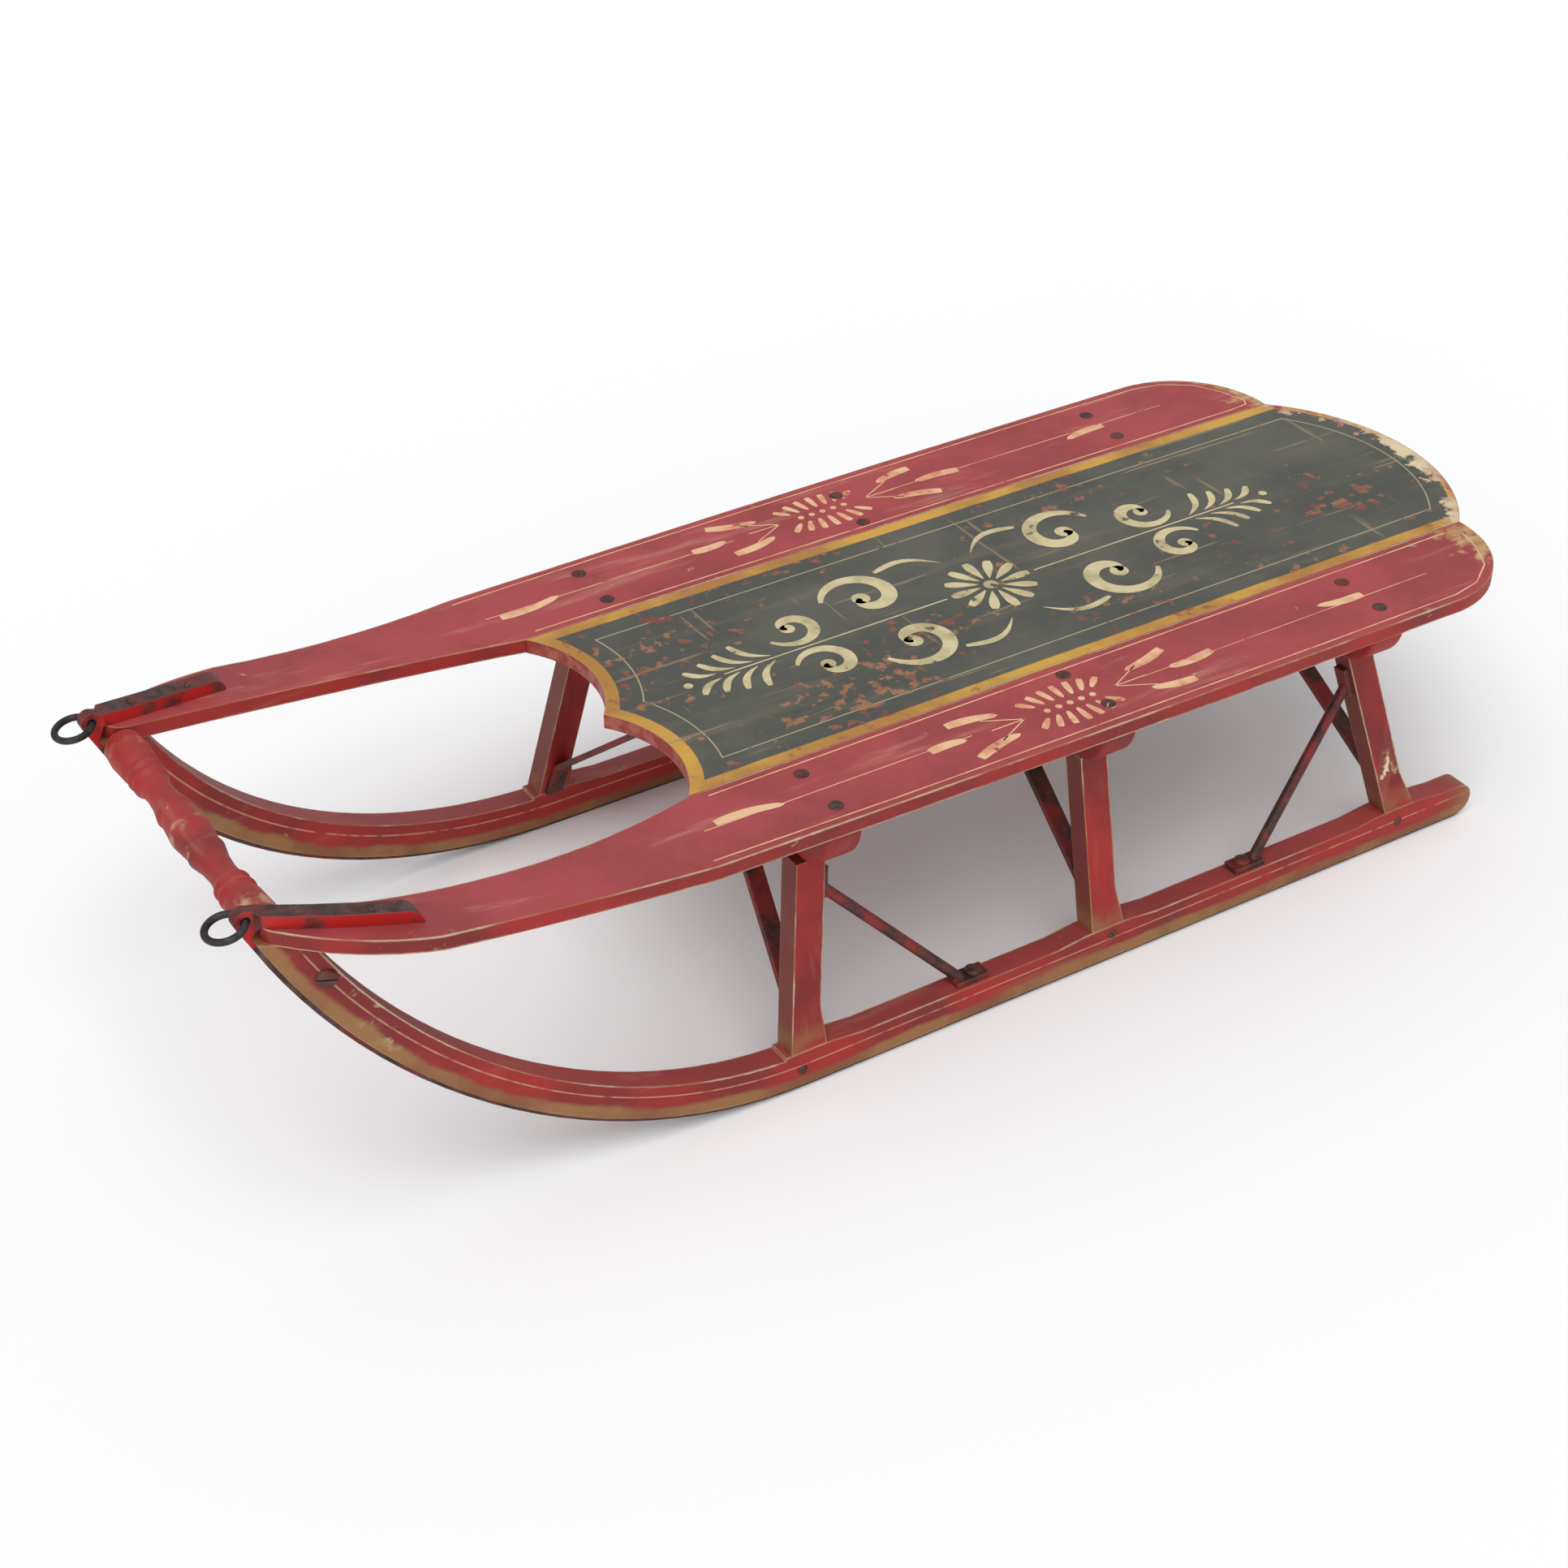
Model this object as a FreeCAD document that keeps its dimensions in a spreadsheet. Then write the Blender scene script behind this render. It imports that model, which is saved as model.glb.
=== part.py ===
import FreeCAD, Part
import math
import os

# Antique child's sled: three deck boards on three cross beams, six posts on two bent
# wooden runners shod with half-round iron, a turned bar between the runner noses and
# a loose pull ring in each rolled iron eye.
# Frame: +X forward (the way it is pulled), +Y left, +Z up, origin on the floor under
# the middle of the whole sled. Millimetres.

os.makedirs("parts", exist_ok=True)
doc = FreeCAD.newDocument("sled")
V = FreeCAD.Vector

# ---------------------------------------------------------------- driving sizes
SIZES = [
    # deck
    ("deck_front", 169.0),       # front edge of the middle board, at its centre cusp
    ("deck_length", 597.0),      # cusp to the rear corners of the middle board
    ("deck_top", 188.8),         # top of the flat deck above the floor
    ("board", 9.5),              # thickness of the deck boards
    ("centre_half", 99.8),       # half width of the middle board
    ("joint_gap", 0.4),          # open joint between middle and side boards
    ("scallop_depth", 17.0),     # the two hollows in the middle board's front edge
    ("rear_bulge", 42.0),        # how far its rear end bows out
    ("half_front", 167.5),       # half width of the deck at the front of the boards
    ("half_middle", 172.8),
    ("half_rear", 174.5),
    # arms: the side boards run on forward, narrow and rise to the runner noses
    ("rise_start", 20.0),        # ahead of the deck front
    ("rise_radius", 1157.0),
    ("arm_waist", 8.0),          # how far the arm's outer edge steps in at its waist
    ("tip_width", 22.0),         # width of the arm's rounded tip
    # runners and shoes
    ("runner_y", 159.5),         # middle of the runner from the sled's centre
    ("runner_wide", 16.0),
    ("runner_deep", 23.0),
    ("pad_rise", 2.5),           # raised seat under each post
    ("shoe_thick", 3.0),
    ("shoe_wide", 12.0),
    ("bend_start", 42.0),        # behind the deck front, where the runner starts to rise
    ("bend_radius", 350.0),      # of the shoe's underside
    ("toe_radius", 1060.0),      # the runners turn in towards the nose
    ("nose_run", 22.0),          # straight iron between the bend and the eye
    ("runner_tail", 22.0),       # runner behind the deck's rear corners, inwards
    ("eye_radius", 6.5),
    ("eye_bore", 3.0),           # radius of the hole in the eye
    ("eye_wide", 7.0),
    ("tongue_length", 90.0),     # iron lapped back on top of the arm
    ("tongue_high", 8.0),
    # posts and beams
    ("post_deep", 16.0),         # across the sled
    ("post_wide", 20.0),         # along the sled
    ("post_flare", 5.0),         # extra length of the foot on its rear side
    ("splay", 0.20),             # feet lean outwards, per mm of height
    ("beam_wide", 26.0),
    ("beam_high", 31.0),
    ("beam_lobe", 26.0),         # rounding of the beam's end
    # irons
    ("strap_thick", 3.5),
    ("strap_wide", 12.0),
    ("rod_dia", 7.0),
    # nose bar
    ("bar_radius", 12.5),
    # pull rings
    ("ring_radius", 10.9),
    ("ring_wire", 2.1),
    ("ring_droop", 10.0),        # degrees below level, as the ring stands
]

sheet = doc.addObject("Spreadsheet::Sheet", "sizes")
for row, (word, value) in enumerate(SIZES, 1):
    sheet.set("A%d" % row, word)
    sheet.set("B%d" % row, str(value))
    sheet.setAlias("B%d" % row, word)
doc.recompute()
S = {word: float(sheet.get(word)) for word, _ in SIZES}

FRONT = S["deck_front"]
REAR = FRONT - S["deck_length"]
UNDER = S["deck_top"] - S["board"]          # underside of the deck
SIDE_IN = S["centre_half"] + S["joint_gap"]
FAR = 2000.0                                 # larger than anything here

# ---------------------------------------------------------------- shape rules
RISE_X = FRONT + S["rise_start"]
BEND_X = FRONT - S["bend_start"]


def arm_z(x):
    """Height of the arm's top above the floor."""
    d = max(0.0, x - RISE_X)
    return S["deck_top"] + S["rise_radius"] - math.sqrt(S["rise_radius"] ** 2 - d * d)


def nose(theta):
    """Eye centre for a bend that ends at the angle theta (radians)."""
    r, e, run = S["bend_radius"], S["eye_radius"], S["nose_run"]
    x = BEND_X + r * math.sin(theta) + run * math.cos(theta) - e * math.sin(theta)
    z = r * (1 - math.cos(theta)) + run * math.sin(theta) + e * math.cos(theta)
    return x, z


def solve_nose():
    """The bend goes on until the eye lies on top of the arm's tip."""
    low, high = math.radians(20), math.radians(85)
    for _ in range(60):
        mid = (low + high) / 2
        x, z = nose(mid)
        if z > arm_z(x) + 2.5:
            high = mid
        else:
            low = mid
    return (low + high) / 2


THETA = solve_nose()
EYE_X, EYE_Z = nose(THETA)


def arc3(a, b, c):
    """Arc through three points of a sketch."""
    return Part.Arc(V(a[0], a[1], 0), V(b[0], b[1], 0), V(c[0], c[1], 0))


def seg(a, b):
    return Part.LineSegment(V(a[0], a[1], 0), V(b[0], b[1], 0))


def chain(points):
    """Closed outline of straight lines."""
    return [seg(points[i], points[(i + 1) % len(points)]) for i in range(len(points))]


def rise_arc(offset, x0, x1):
    """Arc of the arm's surface, offset downwards, between two x."""
    r = S["rise_radius"] + offset
    top = S["deck_top"] + S["rise_radius"]

    def at(x):
        return (x, top - math.sqrt(r * r - (x - RISE_X) ** 2))

    return arc3(at(x0), at((x0 + x1) / 2), at(x1)), at(x0), at(x1)


def bend_point(radius, angle):
    return (BEND_X + radius * math.sin(angle), S["bend_radius"] - radius * math.cos(angle))


def toe_y(x, offset=0.0):
    """Middle of the runner, moved outwards by the offset, at x."""
    r = S["toe_radius"] - offset
    d = max(0.0, x - BEND_X)
    return S["runner_y"] - S["toe_radius"] + math.sqrt(r * r - d * d)


def plan_arc(offset, x0, x1):
    a, b, c = [(x, toe_y(x, -offset)) for x in (x0, (x0 + x1) / 2, x1)]
    return arc3(a, b, c), a, c


def flip(geo, side):
    """Mirror a plan outline for the right-hand piece."""
    if side > 0:
        return geo
    out = []
    for g in geo:
        h = g.copy()
        h.mirror(V(0, 0, 0), V(1, 0, 0))
        out.append(h)
    return out


# ---------------------------------------------------------------- document helpers
def new_body(label):
    b = doc.addObject("PartDesign::Body", label)
    b.Label = label
    return b


def new_sketch(body, name, role, geo, lift=0.0):
    sk = body.newObject("Sketcher::SketchObject", body.Label + "_" + name)
    planes = {o.Role: o for o in body.Origin.OriginFeatures}
    sk.AttachmentSupport = [(planes[role], "")]
    sk.MapMode = "FlatFace"
    sk.AttachmentOffset = FreeCAD.Placement(V(0, 0, lift), FreeCAD.Rotation())
    sk.addGeometry(list(geo))
    return sk


def pad(body, sk, name, length=None, bind=None, both=False):
    p = body.newObject("PartDesign::Pad", body.Label + "_" + name)
    p.Profile = sk
    if both:
        p.SideType = "Symmetric"
    if bind:
        p.setExpression("Length", bind)
    else:
        p.Length = length
    return p


def cut_through(body, sk, name):
    p = body.newObject("PartDesign::Pocket", body.Label + "_" + name)
    p.Profile = sk
    p.Type = "ThroughAll"
    p.SideType = "Symmetric"
    return p


def keep_inside(body, name, role, geo):
    """Cut away everything outside a closed outline."""
    frame = chain([(-FAR, -FAR), (FAR, -FAR), (FAR, FAR), (-FAR, FAR)])
    return cut_through(body, new_sketch(body, name, role, frame + list(geo)), name + "_cut")


# ---------------------------------------------------------------- deck boards
def make_centre_board():
    b = new_body("centre_board")
    half = S["centre_half"]
    hollow = FRONT - S["scallop_depth"]
    geo = []
    for s in (1, -1):
        geo.append(arc3((FRONT, 0), (hollow, s * half * 0.56), (FRONT, s * half)))
        geo.append(seg((FRONT, s * half), (REAR, s * half)))
    geo.append(arc3((REAR, half), (REAR - S["rear_bulge"], 0), (REAR, -half)))
    pad(b, new_sketch(b, "outline", "XY_Plane", geo, UNDER), "pad", bind="sizes.board")


def arm_outline():
    """Plan of the left side board with its arm, inner edge first."""
    tip_x = EYE_X - S["eye_radius"] - 0.3
    tip = toe_y(tip_x)
    half_tip = S["tip_width"] / 2
    waist = S["half_front"] - S["arm_waist"]
    x_waist = FRONT + 0.42 * (tip_x - FRONT)
    x_swell = FRONT + 0.68 * (tip_x - FRONT)
    inner = SIDE_IN
    inner_peak = (FRONT + 0.48 * (tip_x - FRONT), inner + 15)
    inner_end = (tip_x - 12, tip - half_tip + 1.5)
    outer_end = (tip_x - 6, tip + half_tip)
    rear = [(REAR, inner), (REAR + 20, inner + 53), (REAR + 67, S["half_rear"])]
    swell = (x_swell, waist - 3.0)
    geo = [
        seg((REAR, inner), (FRONT, inner)),
        arc3((FRONT, inner), inner_peak, inner_end),
        arc3(inner_end, (tip_x, tip - 1.0), outer_end),
        arc3(outer_end, (0.5 * (outer_end[0] + swell[0]) + 4, 0.5 * (outer_end[1] + swell[1]) + 4),
             swell),
        arc3(swell, (x_waist, waist - 0.5), (FRONT + 20, S["half_front"])),
        arc3((FRONT + 20, S["half_front"]), (FRONT - 250, S["half_middle"]), rear[2]),
        arc3(rear[2], rear[1], rear[0]),
    ]
    return geo


def make_side_board(side, word):
    b = new_body("side_board_" + word)
    x0, x1 = REAR - 20, EYE_X + 20
    top, ta, tb = rise_arc(0, RISE_X, x1)
    low, la, lb = rise_arc(S["board"], RISE_X, x1)
    geo = [seg((x0, UNDER), la), low, seg(lb, tb), top,
           seg(ta, (x0, S["deck_top"])), seg((x0, S["deck_top"]), (x0, UNDER))]
    pad(b, new_sketch(b, "side", "XZ_Plane", geo), "pad", 2 * FAR * 0.2, both=True)
    keep_inside(b, "plan", "XY_Plane", flip(arm_outline(), side))


# ---------------------------------------------------------------- runners
POSTS = [
    # word, foot x, lean of the foot forward per mm of height, beam centre x
    ("front", FRONT - 38.0, 0.152, FRONT - 64.0),
    ("middle", FRONT - 262.0, 0.0, FRONT - 263.0),
    ("rear", FRONT - 506.0, -0.24, FRONT - 478.0),
]
WOOD_LOW = S["shoe_thick"]
WOOD_TOP = S["shoe_thick"] + S["runner_deep"]
PAD_TOP = WOOD_TOP + S["pad_rise"]
BEAM_LOW = UNDER - S["beam_high"]
TAIL_X = REAR + S["runner_tail"]


def make_runner(side, word):
    b = new_body("runner_" + word)
    r_low = S["bend_radius"] - S["shoe_thick"]
    r_top = r_low - S["runner_deep"]
    start_low, start_top = (BEND_X, WOOD_LOW), (BEND_X, WOOD_TOP)
    low_end, top_end = bend_point(r_low, THETA), bend_point(r_top, THETA)
    t = (math.cos(THETA), math.sin(THETA))
    more = 60.0
    low_far = (low_end[0] + more * t[0], low_end[1] + more * t[1])
    top_far = (top_end[0] + more * t[0], top_end[1] + more * t[1])
    nose_r = S["runner_deep"] / 2
    geo = [
        seg((TAIL_X + nose_r, WOOD_LOW), start_low),
        arc3(start_low, bend_point(r_low, THETA / 2), low_end),
        seg(low_end, low_far), seg(low_far, top_far), seg(top_far, top_end),
        arc3(top_end, bend_point(r_top, THETA / 2), start_top),
        seg(start_top, (TAIL_X + nose_r, WOOD_TOP)),
        arc3((TAIL_X + nose_r, WOOD_TOP), (TAIL_X, WOOD_LOW + nose_r), (TAIL_X + nose_r, WOOD_LOW)),
    ]
    pad(b, new_sketch(b, "side", "XZ_Plane", geo), "pad", 2 * FAR * 0.2, both=True)
    # raised seats under the posts
    for name, foot, lean, beam in POSTS:
        w = S["post_wide"] / 2
        a, c = foot - w - S["post_flare"] - 4, foot + w + 4
        ease = 22.0
        lift = [(a - ease, WOOD_TOP - 2), (a - ease, WOOD_TOP), (a, PAD_TOP), (c, PAD_TOP)]
        if name == "front":
            # ahead of the front post the runner already bends up
            lift += [(c, WOOD_TOP - 2)]
        else:
            lift += [(c + ease, WOOD_TOP), (c + ease, WOOD_TOP - 2)]
        pad(b, new_sketch(b, "seat_" + name, "XZ_Plane", chain(lift)), "seat_pad_" + name,
            2 * FAR * 0.2, both=True)
    # the arm lies on the runner's end
    seat_play = 0.05
    under, ua, ub = rise_arc(S["board"] + seat_play, RISE_X, EYE_X + 60)
    above = [under, seg(ub, (ub[0], FAR)), seg((ub[0], FAR), (ua[0], FAR)), seg((ua[0], FAR), ua)]
    cut_through(b, new_sketch(b, "arm_seat", "XZ_Plane", above), "arm_seat_cut")
    # a band in plan that turns in towards the nose
    w = S["runner_wide"] / 2
    x0, x1 = TAIL_X - 10, EYE_X + 60
    outer, oa, ob = plan_arc(w, BEND_X, x1)
    inner, ia, ib = plan_arc(-w, BEND_X, x1)
    y0 = S["runner_y"]
    plan = [seg((x0, y0 + w), oa), outer, seg(ob, ib), inner, seg(ia, (x0, y0 - w)),
            seg((x0, y0 - w), (x0, y0 + w))]
    keep_inside(b, "plan", "XY_Plane", flip(plan, side))


def make_shoe(side, word):
    """Half-round iron: under the runner, up over its nose as an eye, back on the arm."""
    b = new_body("runner_shoe_" + word)
    R, t, e = S["bend_radius"], S["shoe_thick"], S["eye_radius"]
    th = THETA
    out_end, in_end = bend_point(R, th), bend_point(R - t, th)
    right = (EYE_X + e * math.sin(th), EYE_Z - e * math.cos(th))
    top = (EYE_X, EYE_Z + e)
    # the tongue's upper side, a little above the arm
    tongue_x = EYE_X - S["tongue_length"]
    high, ha, hb = rise_arc(-S["tongue_high"], tongue_x + 8, EYE_X - 7)
    in_x = EYE_X - e * 1.0
    low, la, lb = rise_arc(-0.05, tongue_x, in_x)
    # the inner side of the straight nose iron meets the board's tip
    run = S["nose_run"] * 0.41
    in_far = (in_end[0] + run * math.cos(th), in_end[1] + run * math.sin(th))
    tail = TAIL_X + S["runner_deep"] / 2 - 4
    geo = [
        seg((tail, 0.6), (tail + 3, 0)),
        seg((tail + 3, 0), (BEND_X, 0)),
        arc3((BEND_X, 0), bend_point(R, th / 2), out_end),
        seg(out_end, right),
        arc3(right, (EYE_X + e * math.cos(math.radians(25)), EYE_Z + e * math.sin(math.radians(25))), top),
        seg(top, hb), high,
        arc3(ha, (tongue_x + 1.5, arm_z(tongue_x) + S["tongue_high"] * 0.6), la), low,
        seg(lb, in_far), seg(in_far, in_end),
        arc3(in_end, bend_point(R - t, th / 2), (BEND_X, t)),
        seg((BEND_X, t), (tail, t)),
        seg((tail, t), (tail, 0.6)),
    ]
    pad(b, new_sketch(b, "side", "XZ_Plane", geo), "pad", 2 * FAR * 0.2, both=True)
    w, n = S["shoe_wide"] / 2, S["eye_wide"] / 2
    x0, x1, xe = TAIL_X - 10, EYE_X + 30, EYE_X - e - 0.5
    outer, oa, ob = plan_arc(w, BEND_X, xe)
    inner, ia, ib = plan_arc(-w, BEND_X, xe)
    y0, ye = S["runner_y"], toe_y(EYE_X)
    plan = [seg((x0, y0 + w), oa), outer,
            seg(ob, (xe + 2.5, ye + n)), seg((xe + 2.5, ye + n), (x1, ye + n)),
            seg((x1, ye + n), (x1, ye - n)), seg((x1, ye - n), (xe + 2.5, ye - n)),
            seg((xe + 2.5, ye - n), ib),
            inner, seg(ia, (x0, y0 - w)), seg((x0, y0 - w), (x0, y0 + w))]
    keep_inside(b, "plan", "XY_Plane", flip(plan, side))
    bore = Part.Circle(V(EYE_X, EYE_Z, 0), V(0, 0, 1), S["eye_bore"])
    cut_through(b, new_sketch(b, "bore", "XZ_Plane", [bore]), "bore_cut")


# ---------------------------------------------------------------- posts and beams
POST_Y = S["runner_y"]


def post_y(z):
    """Middle of the post across the sled at a height."""
    return POST_Y - S["splay"] * (z - PAD_TOP)


def make_post(side, word, name, foot, lean, beam):
    b = new_body("post_%s_%s" % (name, word))
    w, d = S["post_wide"] / 2, S["post_deep"] / 2
    stations = [(PAD_TOP, S["post_flare"]), (PAD_TOP + 26, 0.0), (BEAM_LOW, 0.0)]
    sketches = []
    for i, (z, flare) in enumerate(stations):
        x = foot - lean * (z - PAD_TOP)
        y = post_y(z) * side
        box = chain([(x - w - flare, y - d), (x + w, y - d), (x + w, y + d), (x - w - flare, y + d)])
        sketches.append(new_sketch(b, "section%d" % i, "XY_Plane", box, z))
    loft = b.newObject("PartDesign::AdditiveLoft", b.Label + "_loft")
    loft.Profile = sketches[0]
    loft.Sections = sketches[1:]
    loft.Ruled = True


def make_beam(name, x):
    b = new_body("beam_" + name)
    lobe = S["beam_lobe"]
    end = S["half_front"] - 1.0
    k = math.sqrt(0.5)
    half = [(end - lobe, BEAM_LOW), (end - lobe + lobe * k, UNDER - S["beam_high"] * k), (end, UNDER)]
    geo = [
        seg((-half[0][0], BEAM_LOW), half[0]),
        arc3(*half),
        seg((end, UNDER), (-end, UNDER)),
        arc3((-end, UNDER), (-half[1][0], half[1][1]), (-half[0][0], BEAM_LOW)),
    ]
    sk = new_sketch(b, "side", "YZ_Plane", geo, x)
    p = pad(b, sk, "pad", bind="sizes.beam_wide", both=True)
    doc.recompute()
    edges = ["Edge%d" % (i + 1) for i, e in enumerate(p.Shape.Edges)
             if e.BoundBox.ZMax < UNDER - 1 and e.BoundBox.YLength > 100]
    f = b.newObject("PartDesign::Fillet", b.Label + "_round")
    f.Base = (p, edges)
    f.Radius = 3.0


# ---------------------------------------------------------------- irons
def offset_path(points, half):
    """Outline of a strap of even thickness along a bent centre line."""
    left, right = [], []
    for i, p in enumerate(points):
        a = points[max(0, i - 1)]
        c = points[min(len(points) - 1, i + 1)]
        d1 = V(p[0] - a[0], p[1] - a[1], 0) if i else V(c[0] - p[0], c[1] - p[1], 0)
        d2 = V(c[0] - p[0], c[1] - p[1], 0) if i < len(points) - 1 else d1
        d1.normalize()
        d2.normalize()
        n = V(-(d1.y + d2.y), d1.x + d2.x, 0)
        n.normalize()
        reach = half / max(0.3, n.dot(V(-d1.y, d1.x, 0)))
        left.append((p[0] + n.x * reach, p[1] + n.y * reach))
        right.append((p[0] - n.x * reach, p[1] - n.y * reach))
    return left + right[::-1]


def make_brace(side, word, name, foot, lean, beam):
    """Flat strap from under the middle of the beam to the post, then down to its foot."""
    h = S["strap_thick"] / 2
    d = S["post_deep"] / 2
    z_low, z_meet = PAD_TOP + 1.0, PAD_TOP + 22.0
    tilt = math.atan(S["splay"])
    inset = (d + h * 1.06) / math.cos(0)
    path = [
        (7.0, BEAM_LOW - h), (30.0, BEAM_LOW - h),
        (post_y(z_meet) - inset, z_meet), (post_y(z_low) - inset, z_low),
    ]
    outline = offset_path(path, h)
    # the strap leans along the sled as its post does
    k = (beam - foot) / (BEAM_LOW - PAD_TOP)
    pts = [V(foot + k * (z - PAD_TOP) - S["strap_wide"] / 2, side * y, z) for y, z in outline]
    face = Part.Face(Part.makePolygon(pts + [pts[0]]))
    solid = face.extrude(V(S["strap_wide"], 0, 0))
    f = doc.addObject("Part::Feature", "brace_%s_%s" % (name, word))
    f.Shape = solid
    f.Label = f.Name


def make_rod(side, word, name, foot, lean, beam):
    """Round stay from the post's upper part to the runner, with flattened ends."""
    forward = 1 if name == "rear" else -1
    w, r = S["post_wide"] / 2, S["rod_dia"] / 2
    z_top = PAD_TOP + 0.80 * (BEAM_LOW - PAD_TOP)
    x_post = foot - lean * (z_top - PAD_TOP) + forward * w
    top = V(x_post + forward * 2.2, side * post_y(z_top), z_top)
    low = V(foot + forward * 118.0, side * S["runner_y"], WOOD_TOP + 2.5)
    axis = low.sub(top)
    length = axis.Length
    rod = Part.makeCylinder(r, length, top, axis)
    # upper lug lies on the post, lower lug on the runner
    up = V(-lean, -side * S["splay"], 1)
    up.normalize()
    lug_top = Part.makeBox(4.0, 10.0, 20.0, V(-2.0, -5.0, -6.0))
    turn = FreeCAD.Rotation(V(1, 0, 0), V(0, 1, 0), V(0, 0, 1), "XYZ")
    xa = V(1, 0, lean)
    xa.normalize()
    ya = up.cross(xa)
    m = FreeCAD.Matrix(xa.x, ya.x, up.x, top.x, xa.y, ya.y, up.y, top.y, xa.z, ya.z, up.z, top.z,
                       0, 0, 0, 1)
    lug_top = lug_top.transformGeometry(m)
    lug_low = Part.makeBox(24.0, 12.0, 4.0, V(low.x - 12.0 + forward * 6.0, low.y - 6.0, WOOD_TOP + 0.05))
    shape = rod.fuse([lug_top, lug_low]).removeSplitter()
    trim = Part.makeBox(400, 60, 30, V(low.x - 200, low.y - 30, WOOD_TOP - 29.95))
    shape = shape.cut(trim)
    f = doc.addObject("Part::Feature", "rod_%s_%s" % (name, word))
    f.Shape = shape
    f.Label = f.Name


# ---------------------------------------------------------------- nose bar
BAR_X, BAR_Z = EYE_X - 14.5, EYE_Z - 18.0


def make_nose_bar():
    """Turned bar: barrel, beads, neck, centre bulge, and the same again mirrored."""
    b = new_body("nose_bar")
    r = S["bar_radius"]
    end = toe_y(BAR_X) - S["runner_wide"] / 2 + 6.0
    rule = [(1.0, 0.86), (0.80, 1.0), (0.66, 0.92), (0.62, 0.80), (0.585, 0.92), (0.55, 0.78),
            (0.515, 0.88), (0.48, 0.72), (0.40, 0.66), (0.30, 0.72), (0.20, 0.90), (0.16, 0.84),
            (0.0, 1.0)]
    half = [(f * end, k * r) for f, k in rule]
    pts = half + [(-y, q) for y, q in half[-2::-1]]
    line = [(end, 0.0)] + pts + [(-end, 0.0)]
    sk = new_sketch(b, "profile", "YZ_Plane", chain(line), BAR_X)
    sk.AttachmentOffset = FreeCAD.Placement(V(0, BAR_Z, BAR_X), FreeCAD.Rotation())
    rev = b.newObject("PartDesign::Revolution", "nose_bar_turned")
    rev.Profile = sk
    rev.ReferenceAxis = (sk, ["H_Axis"])
    rev.Angle = 360
    doc.recompute()
    # the ends are notched under the arms and cut to lie against the runners' inner sides
    seat = arm_z(BAR_X - S["bar_radius"]) - S["board"]
    for s in (1, -1):
        y0, y1 = s * (S["centre_half"] + 1.2), s * 200
        notch = chain([(y0, seat), (y1, seat), (y1, seat + 60), (y0, seat + 60)])
        cut_through(b, new_sketch(b, "seat%d" % s, "YZ_Plane", notch), "seat_cut%d" % s)
    arc, a, c = plan_arc(-S["runner_wide"] / 2 - 0.1, BEND_X, EYE_X + 60)
    outline = [arc, seg(c, (c[0], 200)), seg((c[0], 200), (a[0], 200)), seg((a[0], 200), a)]
    cut_through(b, new_sketch(b, "end_left", "XY_Plane", outline), "end_left_cut")
    cut_through(b, new_sketch(b, "end_right", "XY_Plane", flip(outline, -1)), "end_right_cut")


def make_ring(side, word):
    f = doc.addObject("Part::Torus", "pull_ring_" + word)
    f.setExpression("Radius1", "sizes.ring_radius")
    f.setExpression("Radius2", "sizes.ring_wire")
    a = math.radians(S["ring_droop"])
    # the wire's own bow within the eye is shared to both sides of the hole's middle
    half = S["eye_wide"] / 2
    bow = (S["ring_radius"] - math.sqrt(S["ring_radius"] ** 2 - half ** 2)) / 2
    reach = S["ring_radius"] - bow
    f.Placement = FreeCAD.Placement(
        V(EYE_X + reach * math.cos(a), side * toe_y(EYE_X), EYE_Z - reach * math.sin(a)),
        FreeCAD.Rotation(V(0, 1, 0), S["ring_droop"]))
    f.Label = f.Name


make_centre_board()
make_nose_bar()
for post in POSTS:
    make_beam(post[0], post[3])
for side, word in ((1, "left"), (-1, "right")):
    make_side_board(side, word)
    make_runner(side, word)
    make_shoe(side, word)
    make_ring(side, word)
    for post in POSTS:
        make_post(side, word, *post)
        make_brace(side, word, *post)
        if post[0] != "middle":
            make_rod(side, word, *post)

doc.recompute()
bad = [o.Label for o in doc.Objects if "Invalid" in o.State or "Error" in o.State]
if bad:
    raise RuntimeError("failed objects: " + ", ".join(bad))
nodes = [o for o in doc.Objects
         if o.TypeId in ("PartDesign::Body", "Part::Feature", "Part::Torus")]
for o in nodes:
    if o.Shape.isNull() or not o.Shape.isValid() or len(o.Shape.Solids) != 1:
        raise RuntimeError("bad shape: %s, %d solids" % (o.Label, len(o.Shape.Solids)))
for o in nodes:
    o.Shape.exportStep("parts/" + o.Label + ".step")
print("nodes", len(nodes), "bend", round(math.degrees(THETA), 2), "eye",
      [round(q, 2) for q in (EYE_X, toe_y(EYE_X), EYE_Z)])
box = FreeCAD.BoundBox()
for o in nodes:
    box.add(o.Shape.BoundBox)
print("box", [round(q, 2) for q in (box.XMin, box.XMax, box.YMin, box.YMax, box.ZMin, box.ZMax)])
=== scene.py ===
# %% [markdown]
# # A painted antique sled
# The CAD model gives every board, post and iron its exact shape. This script dresses it:
# worn paint, brushed-on ornament, screws and bolts, then the light and the camera.

# %% [markdown]
# ## The frame
# Every place below is taken from the boxes of the CAD nodes, so the dress still fits if the
# model is packed again. Lengths are in metres; +X is forward and +Y is the sled's left.

# %% Load the CAD frame
import math

import bpy
from mathutils import Matrix, Vector


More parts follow.
